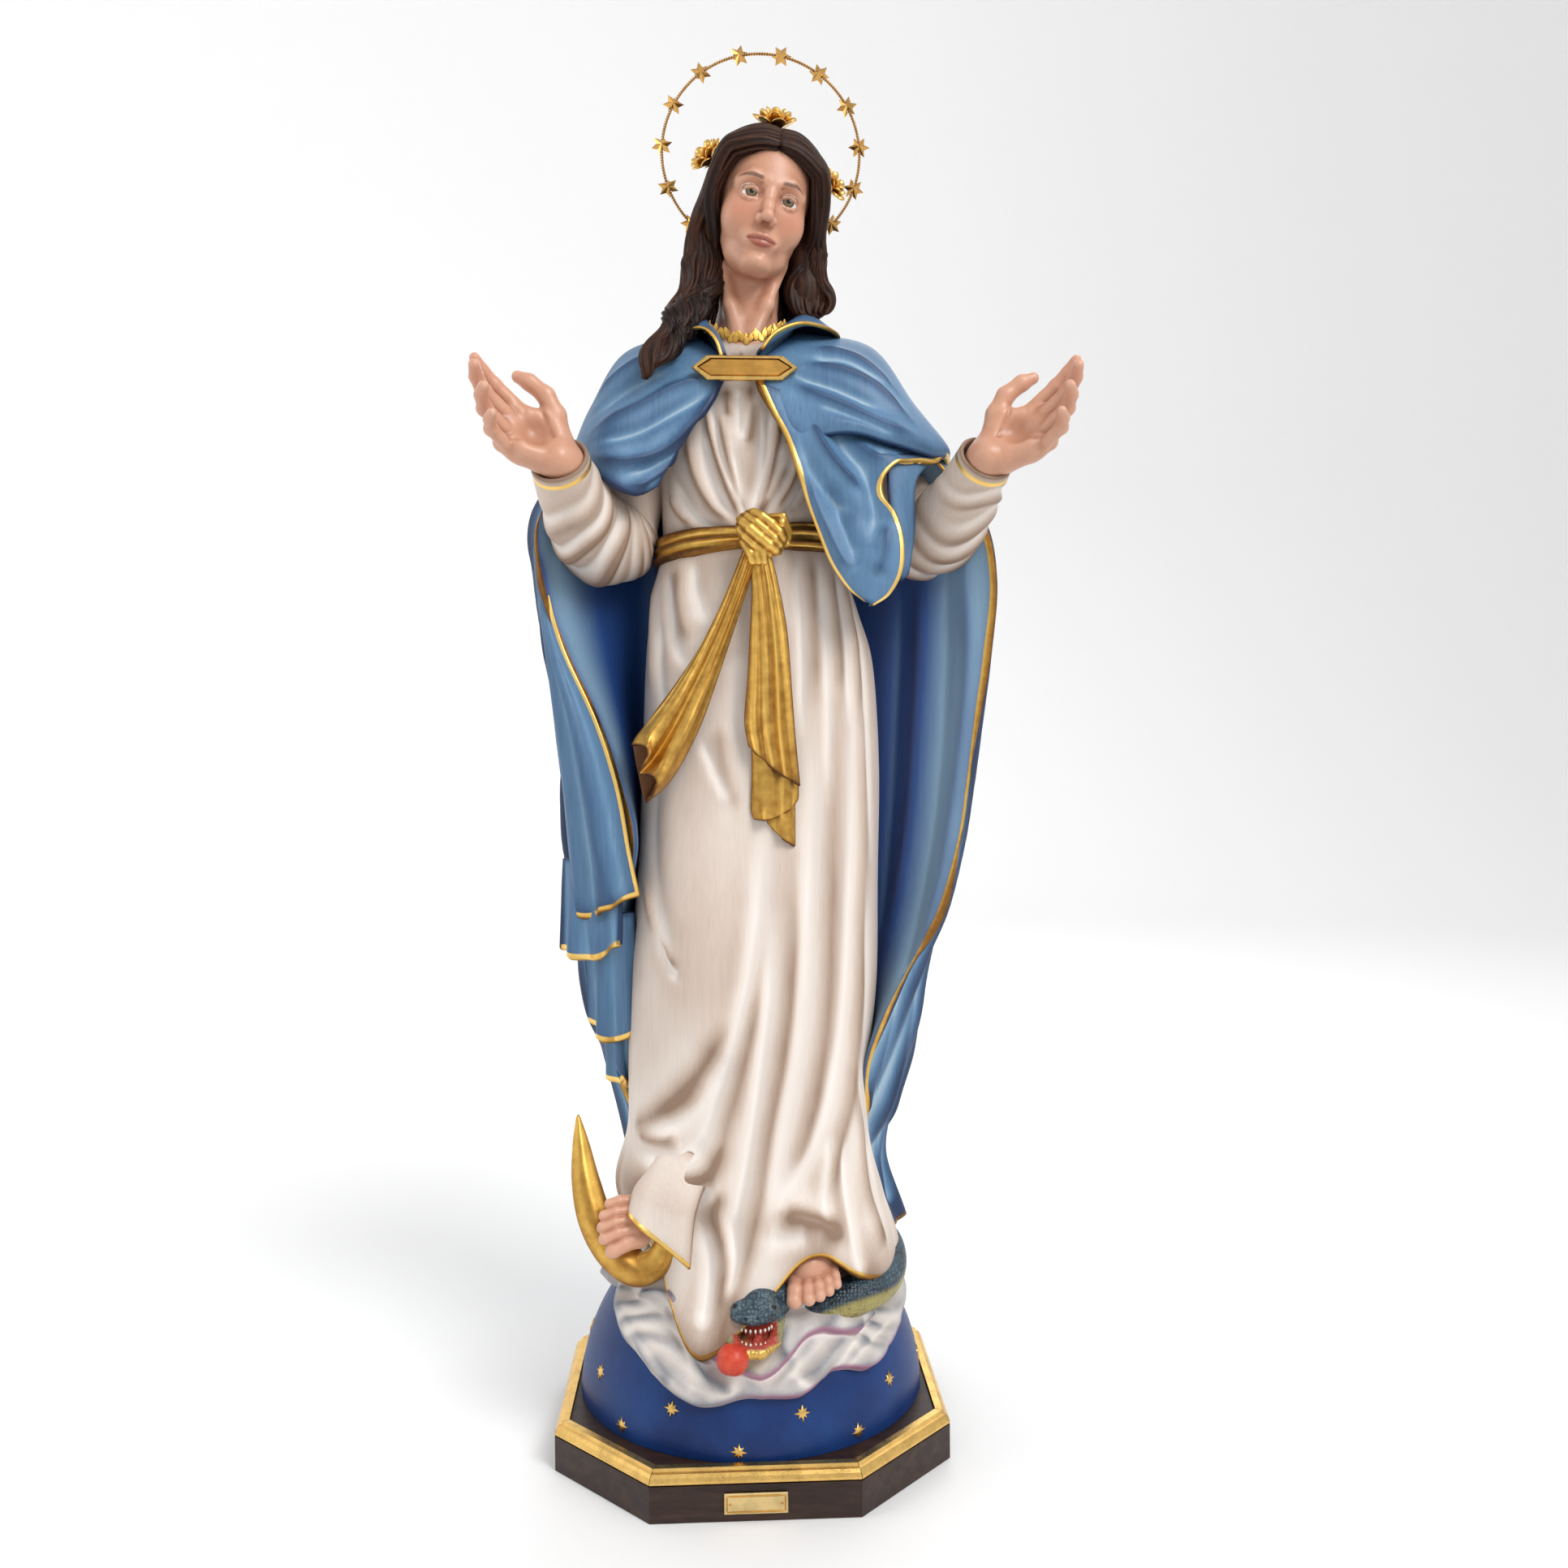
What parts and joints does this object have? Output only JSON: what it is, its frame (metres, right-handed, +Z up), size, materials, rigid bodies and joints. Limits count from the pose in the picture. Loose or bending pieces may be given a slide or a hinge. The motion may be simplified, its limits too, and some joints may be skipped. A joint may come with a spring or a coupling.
{
  "type": "madonna statue",
  "caption": "Standing carved and painted Madonna with open arms, crescent moon and serpent at the feet, on a cloud-topped globe and octagonal plinth, with a lift-off ring halo of stars.",
  "frame": {"origin": "middle of the plinth's underside", "axes": "+Z up through the figure, -Y towards the side the figure faces, +X towards the figure's left hand"},
  "size_m": [0.5112, 0.346, 1.2873],
  "materials": {
    "walnut_stain": "satin",
    "gold_leaf": "burnished gold leaf, satin",
    "brass": "satin",
    "globe_paint": "satin paint",
    "cloud_paint": "matt paint",
    "cream_paint": "matt paint",
    "blue_paint": "matt paint",
    "dowel_wood": "bare",
    "skin_paint": "satin paint",
    "hair_paint": "satin paint",
    "serpent_paint": "satin paint",
    "apple_paint": "satin paint",
    "screw_steel": "zinc plated"
  },
  "bodies": {
    "statue": {"plinth": "walnut_stain", "moulding_1": "gold_leaf", "moulding_2": "gold_leaf", "moulding_3": "gold_leaf", "moulding_4": "gold_leaf", "moulding_5": "gold_leaf", "moulding_6": "gold_leaf", "moulding_7": "gold_leaf", "moulding_8": "gold_leaf", "name_plate": "brass", "plinth_screw_1": "screw_steel", "plinth_screw_2": "screw_steel", "globe": "globe_paint", "cloud": "cloud_paint", "crescent_moon": "gold_leaf", "serpent": "serpent_paint", "apple": "apple_paint", "foot_left": "skin_paint", "foot_right": "skin_paint", "gown_skirt": "cream_paint", "gown_bodice": "cream_paint", "sleeve_left": "cream_paint", "sleeve_right": "cream_paint", "hand_left": "skin_paint", "hand_right": "skin_paint", "hand_peg_left": "dowel_wood", "hand_peg_right": "dowel_wood", "sash_belt": "gold_leaf", "sash_knot": "gold_leaf", "sash_tail_long": "gold_leaf", "sash_tail_swept": "gold_leaf", "mantle_left": "blue_paint", "mantle_back": "blue_paint", "mantle_right": "blue_paint", "cape_left": "blue_paint", "cape_right": "blue_paint", "cape_collar": "blue_paint", "brooch_frame": "gold_leaf", "brooch_panel": "gold_leaf", "head": "skin_paint", "hair": "hair_paint", "rosette_top": "gold_leaf", "rosette_left": "gold_leaf", "rosette_right": "gold_leaf", "halo_socket": "brass"},
    "halo": {"halo_stem": "gold_leaf", "halo_ring": "gold_leaf", "star_1": "gold_leaf", "star_2": "gold_leaf", "star_3": "gold_leaf", "star_4": "gold_leaf", "star_5": "gold_leaf", "star_6": "gold_leaf", "star_7": "gold_leaf", "star_8": "gold_leaf", "star_9": "gold_leaf", "star_10": "gold_leaf", "star_11": "gold_leaf", "star_12": "gold_leaf"}
  },
  "joints": [
    {"name": "halo_lift", "type": "slide", "parent": "statue", "child": "halo", "axis": [0, 0, 1], "range_m": [0, 0.04]}
  ]
}
